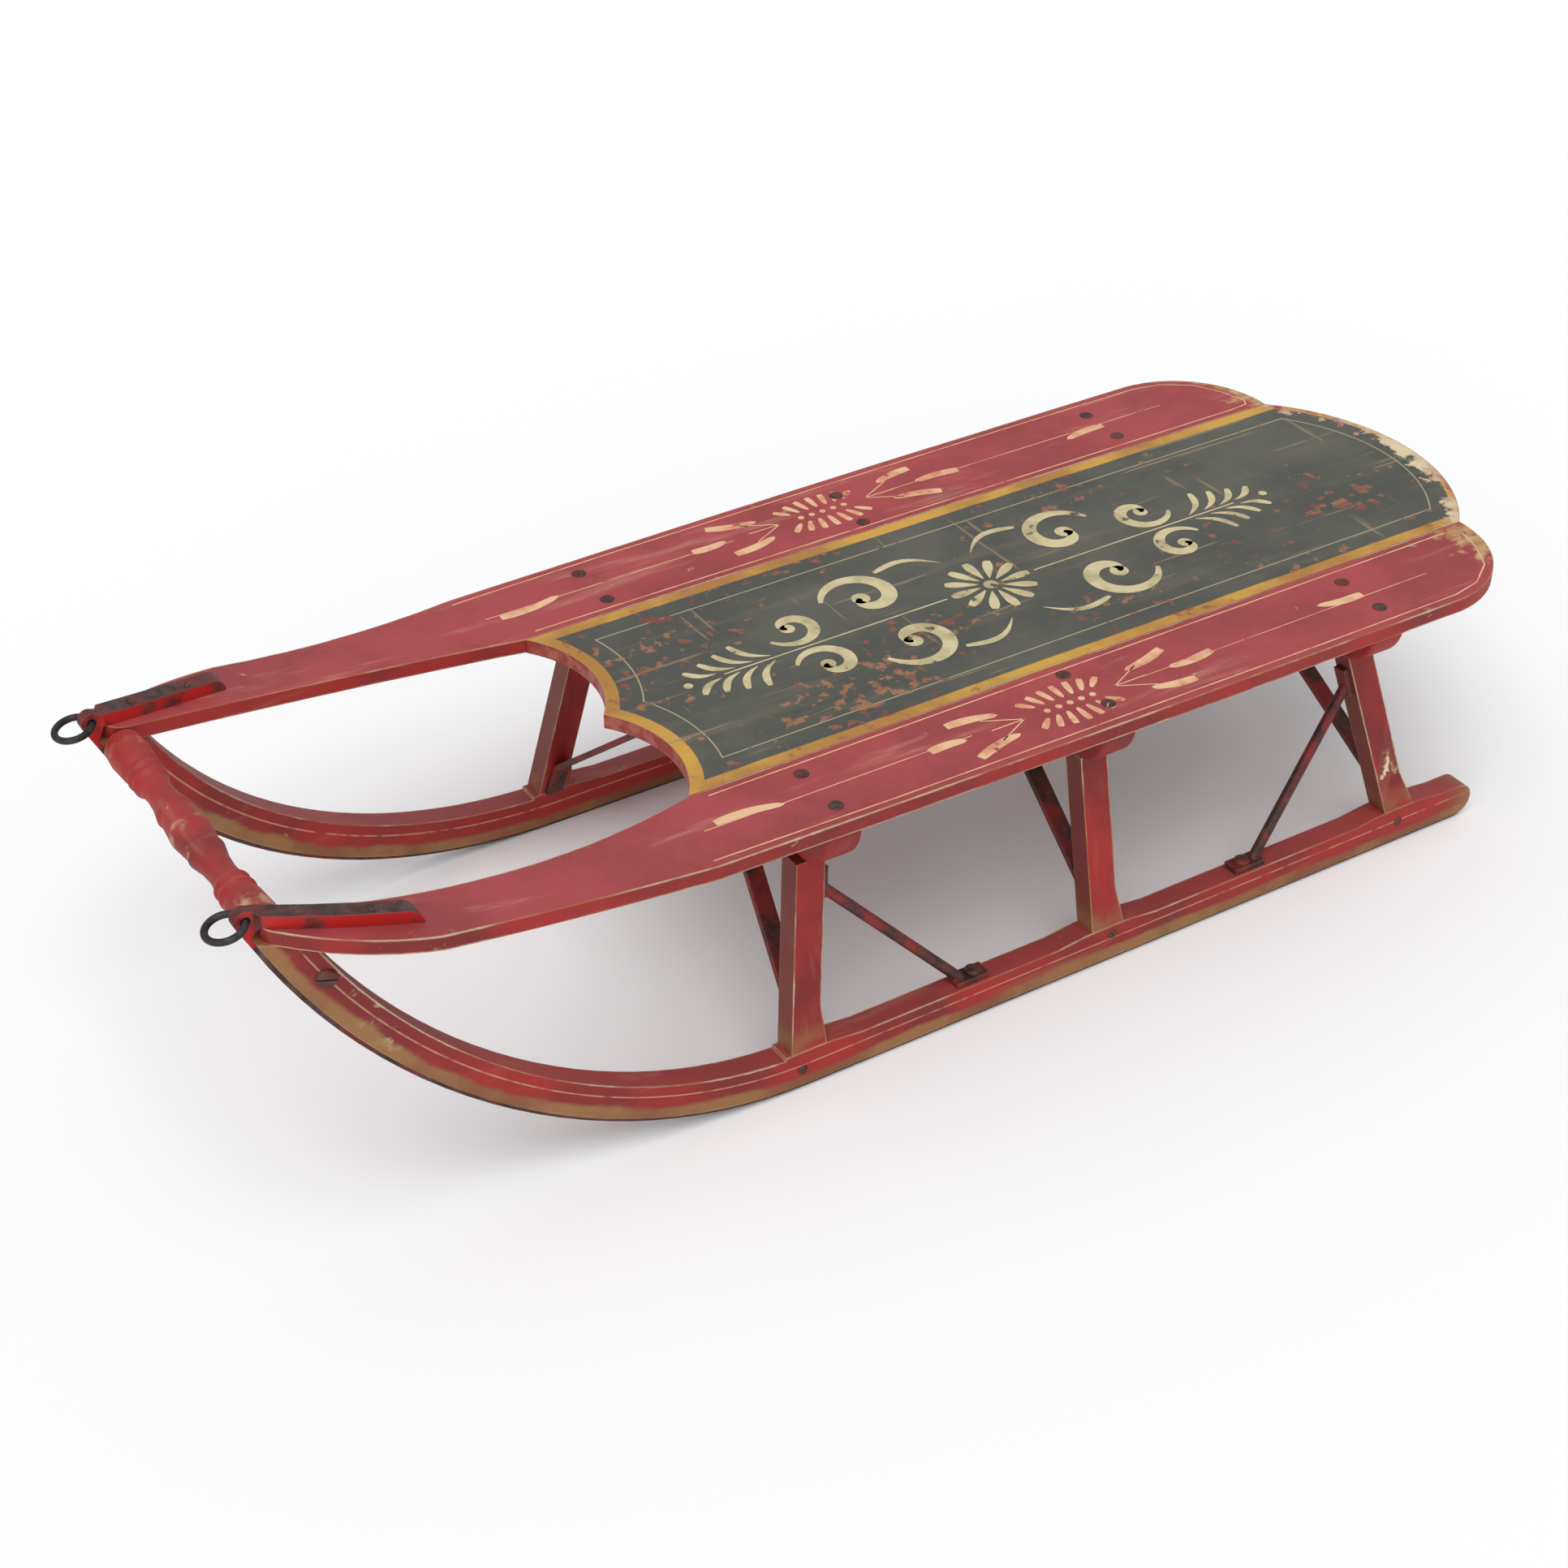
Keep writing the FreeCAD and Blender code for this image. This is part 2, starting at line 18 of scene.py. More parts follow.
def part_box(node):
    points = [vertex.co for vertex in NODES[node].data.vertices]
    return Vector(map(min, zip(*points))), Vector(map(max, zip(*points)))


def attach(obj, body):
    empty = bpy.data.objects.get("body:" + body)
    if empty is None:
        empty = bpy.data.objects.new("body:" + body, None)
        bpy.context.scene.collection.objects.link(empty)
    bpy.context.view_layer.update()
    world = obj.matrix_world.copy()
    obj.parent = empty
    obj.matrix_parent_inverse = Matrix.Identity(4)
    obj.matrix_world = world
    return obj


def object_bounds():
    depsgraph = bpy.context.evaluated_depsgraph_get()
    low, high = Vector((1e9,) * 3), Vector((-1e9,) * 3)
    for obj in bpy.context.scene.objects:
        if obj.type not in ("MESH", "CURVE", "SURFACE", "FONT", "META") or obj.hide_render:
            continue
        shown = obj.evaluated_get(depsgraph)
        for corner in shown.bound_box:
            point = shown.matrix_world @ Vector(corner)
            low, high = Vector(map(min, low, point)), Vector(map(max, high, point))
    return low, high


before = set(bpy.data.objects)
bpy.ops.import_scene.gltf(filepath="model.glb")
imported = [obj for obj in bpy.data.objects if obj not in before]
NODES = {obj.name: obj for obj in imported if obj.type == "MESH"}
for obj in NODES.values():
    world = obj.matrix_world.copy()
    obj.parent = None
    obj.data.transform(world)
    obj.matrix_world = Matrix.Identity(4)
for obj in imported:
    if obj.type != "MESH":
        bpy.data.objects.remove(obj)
start_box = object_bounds()
LOW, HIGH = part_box("centre_board")
FRONT, REAR, TOP = HIGH[0], LOW[0], HIGH[2]     # the middle board's cusp, rear apex and top
HALF = HIGH[1]
print("deck front", round(FRONT, 4), "top", round(TOP, 4), "half width", round(HALF, 4))

# %% [markdown]
# ## Shader maths with ordinary operators
# `S` wraps one output of a node, so `a * 2 + b` builds the nodes for us.


# %% A small wrapper for node sockets
class S:
    def __init__(self, nt, out):
        self.nt, self.out = nt, out

    def _math(self, op, a, b=None):
        n = self.nt.nodes.new("ShaderNodeMath")
        n.operation = op
        for i, v in enumerate((a, b)):
            if isinstance(v, S):
                self.nt.links.new(v.out, n.inputs[i])
            elif v is not None:
                n.inputs[i].default_value = v
        return S(self.nt, n.outputs[0])

    def __add__(self, o): return self._math("ADD", self, o)
    def __radd__(self, o): return self._math("ADD", o, self)
    def __sub__(self, o): return self._math("SUBTRACT", self, o)
    def __rsub__(self, o): return self._math("SUBTRACT", o, self)
    def __mul__(self, o): return self._math("MULTIPLY", self, o)
    def __rmul__(self, o): return self._math("MULTIPLY", o, self)
    def __neg__(self): return self._math("MULTIPLY", self, -1.0)
    def abs(self): return self._math("ABSOLUTE", self)
    def sqrt(self): return self._math("SQRT", self)
    def min(self, o): return self._math("MINIMUM", self, o)
    def max(self, o): return self._math("MAXIMUM", self, o)

    def ramp(self, a, b):
        """0 at a, 1 at b, smooth between."""
        n = self.nt.nodes.new("ShaderNodeMapRange")
        n.interpolation_type = "SMOOTHSTEP"
        n.inputs["From Min"].default_value = min(a, b)
        n.inputs["From Max"].default_value = max(a, b)
        self.nt.links.new(self.out, n.inputs["Value"])
        r = S(self.nt, n.outputs["Result"])
        return r if a < b else 1.0 - r


def srgb(r, g, b):
    """A colour given in everyday 0-255 values, as the linear light Blender works in."""
    def one(v):
        v /= 255
        return v / 12.92 if v <= 0.04045 else ((v + 0.055) / 1.055) ** 2.4
    return (one(r), one(g), one(b), 1.0)


# %% [markdown]
# ## A material with its building blocks
# `Paint` starts a material and gives noise, colour mixing and edge wear by one call each.
# Its noise lives in object coordinates, so it stays on the wood when a body moves.


# %% The material builder
class Paint:
    """A new material with the few building blocks used below."""

    def __init__(self, name):
        self.m = bpy.data.materials.new(name)
        self.m.use_nodes = True
        self.nt = self.m.node_tree
        self.bsdf = self.nt.nodes["Principled BSDF"]
        self.coord = self.nt.nodes.new("ShaderNodeTexCoord")
        sep = self.node("ShaderNodeSeparateXYZ", {0: self.coord.outputs["Object"]})
        self.x, self.y, self.z = (S(self.nt, o) for o in sep.outputs)
        geo = self.nt.nodes.new("ShaderNodeNewGeometry")
        nsep = self.node("ShaderNodeSeparateXYZ", {0: geo.outputs["Normal"]})
        _, self.ny, self.nz = (S(self.nt, o) for o in nsep.outputs)
        self.geo_normal = geo.outputs["Normal"]

    def node(self, kind, inputs, **props):
        n = self.nt.nodes.new(kind)
        for k, v in props.items():
            setattr(n, k, v)
        for k, v in inputs.items():
            v = v.out if isinstance(v, S) else v
            if isinstance(v, bpy.types.NodeSocket):
                self.nt.links.new(v, n.inputs[k])
            else:
                n.inputs[k].default_value = v
        return n

    def noise(self, scale, detail=4.0, rough=0.6, stretch=(1, 1, 1), shift=0.0):
        m = self.node("ShaderNodeMapping", {"Vector": self.coord.outputs["Object"],
                                            "Scale": stretch,
                                            "Location": (shift, shift * 0.7, shift * 1.3)})
        n = self.node("ShaderNodeTexNoise", {"Vector": m.outputs[0], "Scale": scale,
                                             "Detail": detail, "Roughness": rough})
        return S(self.nt, n.outputs[0])

    def mix(self, factor, a, b):
        n = self.nt.nodes.new("ShaderNodeMix")
        n.data_type = "RGBA"
        for i, v in ((0, factor), (6, a), (7, b)):
            v = v.out if isinstance(v, S) else v
            if isinstance(v, bpy.types.NodeSocket):
                self.nt.links.new(v, n.inputs[i])
            else:
                n.inputs[i].default_value = v
        return n.outputs[2]

    def edges(self, radius):
        """1 on worn edges: where the rounded normal leaves the true one."""
        bev = self.node("ShaderNodeBevel", {"Radius": radius}, samples=6)
        dot = self.node("ShaderNodeVectorMath", {0: bev.outputs[0], 1: self.geo_normal},
                        operation="DOT_PRODUCT")
        return 1.0 - S(self.nt, dot.outputs["Value"])

    def finish(self, color, rough, height=None, depth=0.0003, soft=0.0012, metal=0.0):
        def put(v, name):
            v = v.out if isinstance(v, S) else v
            if isinstance(v, bpy.types.NodeSocket):
                self.nt.links.new(v, self.bsdf.inputs[name])
            else:
                self.bsdf.inputs[name].default_value = v
        put(color, "Base Color")
        put(rough, "Roughness")
        put(metal, "Metallic")
        bev = self.node("ShaderNodeBevel", {"Radius": soft}, samples=4)
        normal = bev.outputs[0]
        if height is not None:
            normal = self.node("ShaderNodeBump", {"Height": height, "Distance": depth,
                                                  "Strength": 0.6, "Normal": normal}).outputs[0]
        self.nt.links.new(normal, self.bsdf.inputs["Normal"])
        return self.m


print("shader helpers ready")

# %% [markdown]
# ## Worn red paint
# The upper sides are lighter and pinker than the flanks and scuffed more, edges rub through to
# ochre and bare wood, and the grain runs along each piece. `grain` is the stretch of the noise
# along that piece.

# %% Red wood in its several states
CREAM, OCHRE, BARE = srgb(214, 196, 158), srgb(166, 118, 66), srgb(192, 158, 112)
WEAR_REACH = 0.0022          # how far in from an edge the paint is rubbed


def red_wood(name, grain, upper_tint=1.0, extra=None):
    """fade says how pink the upper sides are; extra repaints what is special to a piece."""
    p = Paint(name)
    fine = p.noise(60, 6, 0.65, grain)
    patch = p.noise(14, 5, 0.6, shift=3.0)
    spots = p.noise(90, 4, 0.6, shift=7.0)
    deep = p.mix(patch.ramp(0.35, 0.7), srgb(158, 26, 22), srgb(116, 20, 19))
    top = p.mix(patch.ramp(0.4, 0.66), srgb(164, 62, 66), srgb(146, 52, 54))
    # upper faces are mixed lighter and pinker than the flanks
    up = p.nz.ramp(0.5, 0.9) * upper_tint
    color = p.mix(up, deep, top)
    scuff = (fine.ramp(0.55, 0.72) * 0.35) * (0.4 + up)
    color = p.mix(scuff, color, srgb(190, 140, 118))
    rub = p.edges(WEAR_REACH) * 5.0 + (spots - 0.5) * 1.6 + (patch - 0.5) * 1.8
    chips = (spots * 0.6 + fine * 0.4).ramp(0.665, 0.69)
    worn = rub.ramp(0.42, 0.72).max(chips)
    under = p.mix(fine.ramp(0.4, 0.6), OCHRE, BARE)
    under = p.mix(patch.ramp(0.45, 0.6), under, CREAM)
    color = p.mix(worn, color, under)
    if extra:
        color = extra(p, color, fine, patch, spots)
    dirt = p.noise(35, 6, 0.7, shift=11.0).ramp(0.58, 0.75) * 0.35
    color = p.mix(dirt, color, srgb(70, 50, 38))
    return p.finish(color, 0.48 + fine * 0.25, fine + worn * -0.6, 0.00025)


def board_ends(p, color, fine, patch, spots):
    """The rear corners are walked bare."""
    back = (p.x - (REAR + 0.065)).ramp(0.03, -0.03) * p.nz.ramp(0.4, 0.8)
    bare = (back * 0.62 + (patch - 0.5) * 1.5 + (spots - 0.5)).ramp(0.42, 0.6)
    return p.mix(bare, color, p.mix(fine.ramp(0.4, 0.62), OCHRE, BARE))


# %% [markdown]
# ## What each wooden piece adds
# A runner is worn by depth above its shoe. In the bend that depth is counted from the bend's
# own centre, so the bands follow the curve.


# %% Runner bands, post wear, ridges of the bar
BEND_X, BEND_R = FRONT - 0.042, 0.350    # where the runner starts to rise, and its radius
RUNNER_Y, TOE_R = 0.1595, 1.060          # middle of the runner, and how it turns in
WORN_LOW = 0.0105                        # depth of worn wood above the shoe
STRIPE = 0.0185                          # depth of the pinstripe


def runner_bands(p, color, fine, patch, spots):
    """Depth above the shoe: worn wood low down, a cream pinstripe half-way up outside."""
    dx = (p.x - BEND_X).max(0.0)
    dz = BEND_R - p.z
    depth = BEND_R - (dx * dx + dz * dz).sqrt()
    low = (WORN_LOW - depth + (fine - 0.5) * 0.008 + (patch - 0.5) * 0.010).ramp(-0.002, 0.002)
    tail = (p.x - (REAR + 0.075)).ramp(0.02, -0.02)
    side = p.ny.abs().ramp(0.5, 0.7)
    worn = p.mix(patch.ramp(0.4, 0.6), srgb(120, 82, 48), srgb(150, 112, 62))
    color = p.mix((low * 0.8).max(tail * 0.85), color, worn)
    line = ((depth - STRIPE).abs() - 0.0004).ramp(0.0004, -0.0002) * side * (1.0 - tail)
    line = line * spots.ramp(0.68, 0.46) * 0.7
    color = p.mix(line, color, srgb(200, 150, 112))
    top = p.nz.ramp(0.4, 0.7) * (1.0 - tail)
    return p.mix(top * 0.4, color, srgb(150, 72, 66))


def post_wear(p, color, fine, patch, spots):
    """Brown inner and front faces, and a foot rubbed to wood."""
    side = p.ny.abs().ramp(0.75, 0.9)
    brown = p.mix(patch.ramp(0.4, 0.6), srgb(88, 44, 34), srgb(112, 60, 42))
    color = p.mix((1.0 - side) * 0.7, color, brown)
    foot = (p.z - 0.040).ramp(0.008, -0.008) * patch.ramp(0.42, 0.55)
    return p.mix(foot * 0.7, color, srgb(140, 100, 60))


ALONG_X, ALONG_Z, ALONG_Y = (0.12, 1, 1), (1, 1, 0.12), (1, 0.12, 1)
side_paint = red_wood("side_board_red", ALONG_X, extra=board_ends)
runner_paint = red_wood("runner_red", ALONG_X, upper_tint=0.5, extra=runner_bands)
post_paint = red_wood("post_red", ALONG_Z, upper_tint=0.3, extra=post_wear)
beam_paint = red_wood("beam_red", ALONG_Y, upper_tint=0.2)


def ridge_wear(p, color, fine, patch, spots):
    """The bar's highest ridges are rubbed through."""
    low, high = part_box("nose_bar")
    axis_x, axis_z = (low[0] + high[0]) / 2, (low[2] + high[2]) / 2
    r = ((p.x - axis_x) * (p.x - axis_x) + (p.z - axis_z) * (p.z - axis_z)).sqrt()
    ridge = (r + (patch - 0.5) * 0.005 + (spots - 0.5) * 0.004).ramp(0.0118, 0.0132)
    return p.mix(ridge * 0.6, color, p.mix(fine.ramp(0.4, 0.6), OCHRE, CREAM))


bar_paint = red_wood("nose_bar_red", ALONG_Y, upper_tint=0.3, extra=ridge_wear)
print("red paints ready")

# %% [markdown]
# ## The dark middle board
# Its gold border follows the two hollows of the front edge. A circle through three points
# of a hollow gives the distance from the edge at any place.


# %% Dark field, gold border, fine cream line
BORDER, INSET = 0.0088, 0.0232           # width of the gold band, place of the fine line
SCALLOP, BULGE = 0.017, 0.042            # depth of the front hollows, bow of the rear end


def circle(a, b, c):
    """Centre and radius of the circle through three points."""
    ax, ay, bx, by, cx, cy = *a, *b, *c
    d = 2 * (ax * (by - cy) + bx * (cy - ay) + cx * (ay - by))
    a2, b2, c2 = ax**2 + ay**2, bx**2 + by**2, cx**2 + cy**2
    ux = (a2 * (by - cy) + b2 * (cy - ay) + c2 * (ay - by)) / d
    uy = (a2 * (cx - bx) + b2 * (ax - cx) + c2 * (bx - ax)) / d
    return ux, uy, math.hypot(ax - ux, ay - uy)


def centre_paint():
    p = Paint("centre_board_dark")
    fine = p.noise(70, 6, 0.65, ALONG_X)
    patch = p.noise(12, 5, 0.6, shift=5.0)
    spots = p.noise(110, 4, 0.6, shift=9.0)
    cx, cy, cr = circle((FRONT, 0), (FRONT - SCALLOP, HALF * 0.56), (FRONT, HALF))
    rx, _, rr = circle((REAR + BULGE, HALF), (REAR, 0), (REAR + BULGE, -HALF))
    ay = p.y.abs()
    hx, hy = p.x - cx, ay - cy
    front = (hx * hx + hy * hy).sqrt() - cr
    bx = p.x - rx
    rear = (rr - (bx * bx + p.y * p.y).sqrt()).max(bx * 5.0)
    side = HALF - ay
    edge = front.min(side).min(rear + 0.004)
    wob = (patch - 0.5) * 0.002
    field = p.mix(patch.ramp(0.35, 0.65), srgb(84, 83, 74), srgb(66, 68, 62))
    field = p.mix(fine.ramp(0.5, 0.75) * 0.5, field, srgb(112, 102, 84))
    gold = p.mix(patch.ramp(0.4, 0.62), srgb(200, 152, 58), srgb(168, 118, 46))
    color = p.mix((edge + wob - BORDER).ramp(0.0005, -0.0003), field, gold)
    inset = ((edge - INSET).abs() - 0.0003).ramp(0.0004, -0.0002) * spots.ramp(0.68, 0.56) * 0.8
    color = p.mix(inset, color, srgb(188, 176, 132))
    scratch = p.noise(160, 3, 0.5, (0.05, 1, 1), 2.0).ramp(0.66, 0.7)
    cross = p.noise(150, 3, 0.5, (1, 0.06, 1), 4.0).ramp(0.69, 0.72)
    color = p.mix(scratch.max(cross) * 0.55, color, srgb(150, 128, 96))
    chips = (spots * 0.6 + patch * 0.4).ramp(0.58, 0.61)
    primer = p.mix(fine.ramp(0.4, 0.6), srgb(132, 52, 40), srgb(166, 112, 72))
    color = p.mix(chips * 0.7, color, primer)
    back = (0.009 - rear + (patch - 0.5) * 0.05 + (spots - 0.5) * 0.04).ramp(0.0, 0.005)
    color = p.mix(back, color, p.mix(patch.ramp(0.42, 0.58), srgb(150, 62, 48), CREAM))
    rim = (p.edges(WEAR_REACH) * 5.0 + (spots - 0.5) * 1.8).ramp(0.4, 0.7)
    color = p.mix(rim, color, srgb(186, 132, 96))
    wall = p.nz.abs().ramp(0.6, 0.3)
    color = p.mix(wall, color, p.mix(spots.ramp(0.4, 0.6), srgb(138, 38, 30), srgb(160, 84, 66)))
    under = (-p.nz).ramp(0.5, 0.8)
    color = p.mix(under, color, srgb(92, 66, 46))
    return p.finish(color, 0.45 + fine * 0.25, fine - chips * 0.6, 0.00022)


centre = centre_paint()
print("middle board painted")

# %% [markdown]
# ## Iron
# All the irons share one recipe. They differ in how much red paint is left on them.


# %% Straps, shoes, rings and screws
def iron_paint(name, red, tint=srgb(74, 44, 38), metal=0.35, tongue=False):
    """Old iron: brown skin, darker pits, and what is left of the red paint."""
    p = Paint(name)
    fine = p.noise(120, 6, 0.7)
    patch = p.noise(38, 5, 0.6, shift=6.0)
    color = p.mix(fine.ramp(0.35, 0.65), srgb(46, 34, 32), tint)
    color = p.mix((patch.ramp(0.46, 0.6)) * red, color, srgb(136, 38, 30))
    color = p.mix(fine.ramp(0.62, 0.72) * 0.7, color, srgb(126, 84, 58))
    if tongue:                               # red paint is left on the flanks of the tongue
        flank = p.ny.abs().ramp(0.4, 0.7) * p.z.ramp(0.200, 0.204) * patch.ramp(0.62, 0.5)
        color = p.mix(flank, color, srgb(186, 30, 24))
    shine = p.edges(0.0016) * 4.0
    color = p.mix(shine.ramp(0.3, 1.2) * 0.6, color, srgb(120, 104, 96))
    return p.finish(color, 0.42 + patch * 0.3, fine, 0.0002, 0.0008, metal)


strap_iron = iron_paint("strap_iron", 0.85, srgb(92, 44, 38), 0.2)
shoe_iron = iron_paint("shoe_iron", 0.45, srgb(92, 62, 58), 0.3, True)
ring_iron = iron_paint("ring_iron", 0.0, srgb(70, 68, 68), 0.7)
screw_iron = iron_paint("screw_iron", 0.5, srgb(104, 62, 50), 0.35)
COATS = {"centre_board": centre, "side_board": side_paint, "runner_shoe": shoe_iron,
         "runner": runner_paint, "post": post_paint, "beam": beam_paint, "nose_bar": bar_paint,
         "pull_ring": ring_iron, "brace": strap_iron, "rod": strap_iron}
for name, node in NODES.items():         # the first match counts: a shoe is not a runner
    coat = next(m for start, m in COATS.items() if name.startswith(start))
    node.data.materials.clear()
    node.data.materials.append(coat)
print("painted", len(NODES), "nodes")

# %% [markdown]
# ## Brushed ornament
# Each stroke is a thin skin of paint: a centre line with a width that swells and thins.


# %% Strokes as ribbons of paint
def brush_paint(name, color, dark, holes=0.6):
    p = Paint(name)
    patch = p.noise(45, 5, 0.65, shift=1.0)
    spots = p.noise(160, 4, 0.6, shift=8.0)
    c = p.mix(patch.ramp(0.4, 0.65), color, dark)
    alpha = (spots * 0.5 + patch * 0.5).ramp(holes + 0.03, holes - 0.01)
    p.nt.links.new(alpha.out, p.bsdf.inputs["Alpha"])
    return p.finish(c, 0.55, None, soft=0.0001)


cream = brush_paint("cream_paint", srgb(206, 192, 148), srgb(172, 158, 116), 0.60)
dab_cream = brush_paint("dab_paint", srgb(226, 184, 142), srgb(206, 132, 100), 0.60)


def mesh_object(name, verts, faces, mat):
    me = bpy.data.meshes.new(name)
    me.from_pydata(verts, [], faces)
    me.materials.append(mat)
    ob = bpy.data.objects.new(name, me)
    bpy.context.scene.collection.objects.link(ob)
    return ob


class Brush:
    """Collects strokes on the deck and makes one mesh of them."""

    def __init__(self, lift=0.00012):
        self.v, self.f, self.z = [], [], TOP + lift

    def line(self, pts, width):
        """width is a number, or a rule from 0..1 along the stroke."""
        base, n = len(self.v), len(pts)
        for i, (x, y) in enumerate(pts):
            ax, ay = pts[max(i - 1, 0)]
            bx, by = pts[min(i + 1, n - 1)]
            d = math.hypot(bx - ax, by - ay) or 1.0
            nx, ny = -(by - ay) / d, (bx - ax) / d
            w = (width(i / (n - 1)) if callable(width) else width) / 2
            self.v += [(x + nx * w, y + ny * w, self.z), (x - nx * w, y - ny * w, self.z)]
        for i in range(n - 1):
            a = base + 2 * i
            self.f.append((a, a + 1, a + 3, a + 2))

    def dab(self, a, b, width, bow=0.12, blunt=0.6, taper=0.75):
        """A teardrop touch of the brush from a to b, bowed a little."""
        pts = []
        for i in range(13):
            t = i / 12
            k = bow * math.sin(math.pi * t)
            pts.append((a[0] + (b[0] - a[0]) * t - (b[1] - a[1]) * k,
                        a[1] + (b[1] - a[1]) * t + (b[0] - a[0]) * k))
        self.line(pts, lambda t: width * (math.sin(math.pi * min(1, t * 0.93 + 0.07)) ** blunt)
                  * (1.05 - taper * t) + 0.0003)

    def curl(self, x, y, size, turn, hand, width):
        """A C-scroll that ends in a round bud."""
        pts = []
        for i in range(41):
            t = i / 40
            r = size * (1.0 - t) ** 0.8 + size * 0.10
            a = turn + hand * t * 2.0 * math.pi * 0.95
            pts.append((x + r * math.cos(a), y + r * math.sin(a)))
        self.line(pts, lambda t: width * (0.35 + 1.1 * math.sin(math.pi * t) ** 0.8) + 0.0003)
        self.dot(pts[-1][0], pts[-1][1], width * 0.9)

    def dot(self, x, y, r):
        base = len(self.v)
        self.v += [(x + r * math.cos(a * math.pi / 8), y + r * math.sin(a * math.pi / 8), self.z)
                   for a in range(16)]
        self.f.append(tuple(range(base, base + 16)))

    def done(self, name, mat):
        ob = mesh_object(name, self.v, self.f, mat)
        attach(ob, "sled")
        print(name, len(self.f), "faces")
        return ob


# %% [markdown]
# ## Ornament of the side boards
# Each side has eight dabs, a small rosette of two arched rows, and fine lines round the edge.

# %% Dabs, fans and pinstripes on the side boards
DABS_LEFT = [((0.001, 0.131), (-0.043, 0.136)), ((-0.143, 0.137), (-0.169, 0.138)),
             ((-0.166, 0.120), (-0.200, 0.126)), ((-0.165, 0.158), (-0.200, 0.1495)),
             ((-0.329, 0.119), (-0.295, 0.127)), ((-0.355, 0.137), (-0.320, 0.1385)),
             ((-0.327, 0.157), (-0.297, 0.151)), ((-0.479, 0.136), (-0.445, 0.132))]
b = Brush()
for side in (1, -1):
    for a, c in DABS_LEFT:
        b.dab((FRONT + a[0], side * a[1]), (FRONT + c[0], side * c[1]),
              0.0070, 0.05 * side, 0.22, 0.25)
    cx, cy = FRONT - 0.245, side * 0.138
    for i in range(7):                      # two arched rows of strokes around five dots
        t = (i - 3) / 3
        for away in (1, -1):
            x0 = cx + t * 0.021
            y0 = cy + away * 0.0065
            b.dab((x0 + t * 0.009, y0 + away * (0.0145 - 0.006 * t * t)), (x0, y0),
                  0.0046, 0.0, 0.3, 0.4)
    for i in range(5):
        b.dot(cx + (i - 2) * 0.0085, cy, 0.0022)
    for end in (1, -1):
        for spread in (-0.012, 0.0, 0.012):
            b.line([(cx + end * 0.034, cy), (cx + end * 0.058, cy + spread)], 0.0009)
b.done("side_board_dabs", dab_cream)

b = Brush(0.0001)
for side in (1, -1):
    outer = [(FRONT + 0.02, 0.1615), (FRONT - 0.10, 0.1650), (FRONT - 0.25, 0.1668),
             (FRONT - 0.42, 0.1684), (FRONT - 0.53, 0.1684), (FRONT - 0.552, 0.164),
             (FRONT - 0.572, 0.150), (FRONT - 0.583, 0.130), (FRONT - 0.588, 0.112),
             (FRONT - 0.585, 0.107), (FRONT - 0.57, 0.1058), (FRONT - 0.30, 0.1058),
             (FRONT - 0.01, 0.1058)]
    smooth = []
    for i in range(len(outer) - 1):
        for k in range(8):
            t = k / 8
            smooth.append(tuple(outer[i][j] * (1 - t) + outer[i + 1][j] * t for j in (0, 1)))
    smooth.append(outer[-1])
    b.line([(x, side * y) for x, y in smooth], 0.0010)
    b.line([(FRONT + 0.010 - 0.008 * i, side * (0.1345 + 0.00006 * i)) for i in range(24)], 0.0007)
    b.line([(FRONT - 0.300 - 0.008 * i, side * 0.1385) for i in range(30)], 0.0007)
b.done("side_board_lines", dab_cream)

# %% [markdown]
# ## Scrollwork of the middle board
# A rosette in the middle; curls and leaves are set out once and mirrored both ways.

# %% Scrollwork on the middle board
b = Brush()
mx = FRONT - 0.285
for i in range(12):                          # centre rosette
    a = i * math.pi / 6
    b.dab((mx + 0.030 * math.cos(a), 0.030 * math.sin(a)),
          (mx + 0.008 * math.cos(a), 0.008 * math.sin(a)), 0.0085, 0.0)
b.dot(mx, 0, 0.005)
for ex in (1, -1):
    for ey in (1, -1):
        hand = ex * ey
        ahead = math.pi / 2 * (1 - ex)
        b.curl(mx + ex * 0.078, ey * 0.030, 0.026, ahead + 0.3 * hand, hand, 0.0070)
        b.curl(mx + ex * 0.138, ey * 0.024, 0.019, ahead - 0.4 * hand, -hand, 0.0056)
        for k in range(4):                   # leaves springing from the stem
            x = mx + ex * (0.165 + 0.013 * k)
            b.dab((x + ex * 0.018, ey * (0.026 - 0.004 * k)), (x, ey * 0.003), 0.0060, 0.15 * hand)
        b.dab((mx + ex * 0.056, ey * 0.052), (mx + ex * 0.012, ey * 0.040), 0.0060, -0.2 * hand)
    b.line([(mx + ex * (0.034 + 0.0185 * i / 2), 0.0) for i in range(19)], 0.0012)
    b.dot(mx + ex * 0.226, 0, 0.003)
b.done("centre_board_scrolls", cream)

# %% [markdown]
# ## Screws and bolts
# A small Geometry Nodes tree sets one head on every marked point. The points are found by
# casting a ray on to the piece that the screw holds.


